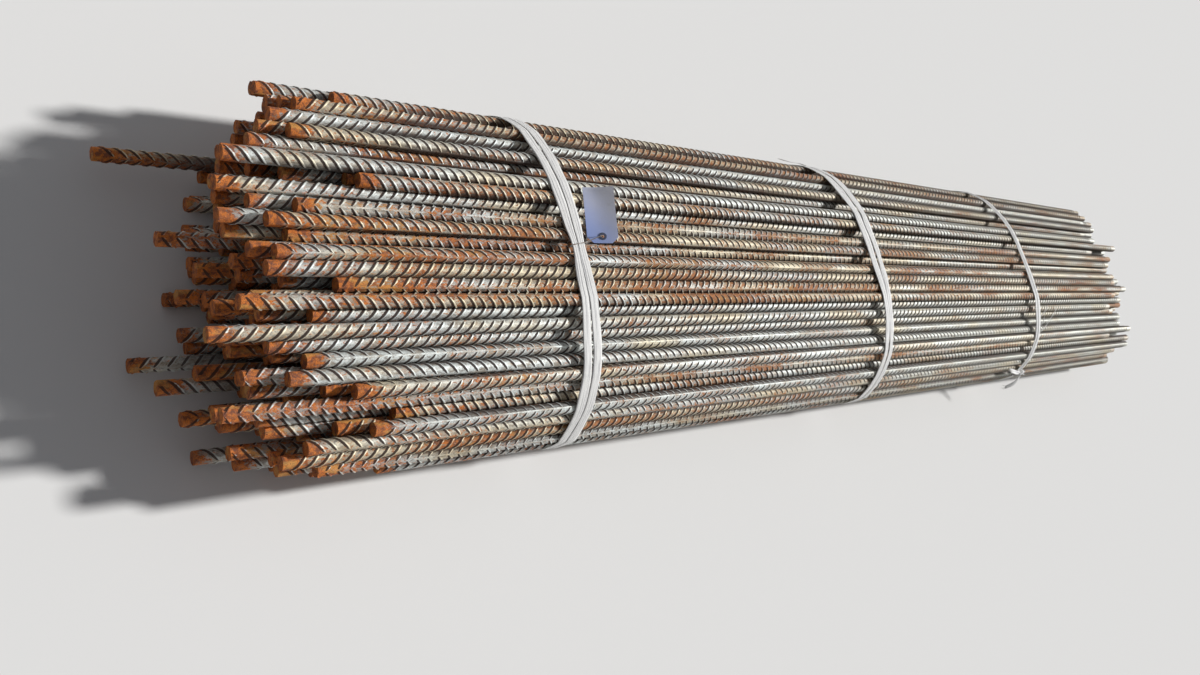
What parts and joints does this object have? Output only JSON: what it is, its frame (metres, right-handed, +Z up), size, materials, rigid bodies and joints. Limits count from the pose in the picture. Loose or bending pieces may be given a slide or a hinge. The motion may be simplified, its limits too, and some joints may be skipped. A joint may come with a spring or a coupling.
{
  "type": "rebar bundle",
  "caption": "Bundle of deformed steel reinforcing bars, stacked in a rounded heap and held by woven straps, one tied with a knot, with a blank-fronted paper tag on a loop.",
  "frame": {"origin": "centre of the bundle's footprint on the level floor, at the underside of the straps", "axes": "+X along the bars from the tagged near end to the far end, +Y across the bundle, +Z up"},
  "size_m": [3.408, 0.6359, 0.3083],
  "materials": {
    "rebar_steel": "mill scale with orange rust",
    "woven_strap": "matte woven",
    "tag_paper": "matte",
    "eyelet_board": "matte",
    "tie_wire": "dull"
  },
  "bodies": {
    "root": {"bars_layer_01": "rebar_steel", "bars_layer_02": "rebar_steel", "bars_layer_03": "rebar_steel", "bars_layer_04": "rebar_steel", "bars_layer_05": "rebar_steel", "bars_layer_06": "rebar_steel", "bars_layer_07": "rebar_steel", "bars_layer_08": "rebar_steel", "bars_layer_09": "rebar_steel", "bars_layer_10": "rebar_steel", "bars_layer_11": "rebar_steel", "bars_layer_12": "rebar_steel", "bars_layer_13": "rebar_steel", "bars_layer_14": "rebar_steel", "strap_near": "woven_strap", "strap_middle": "woven_strap", "strap_far": "woven_strap", "strap_far_knot": "woven_strap", "tag": "tag_paper", "tag_eyelet": "eyelet_board", "tag_tie": "tie_wire"}
  },
  "joints": []
}
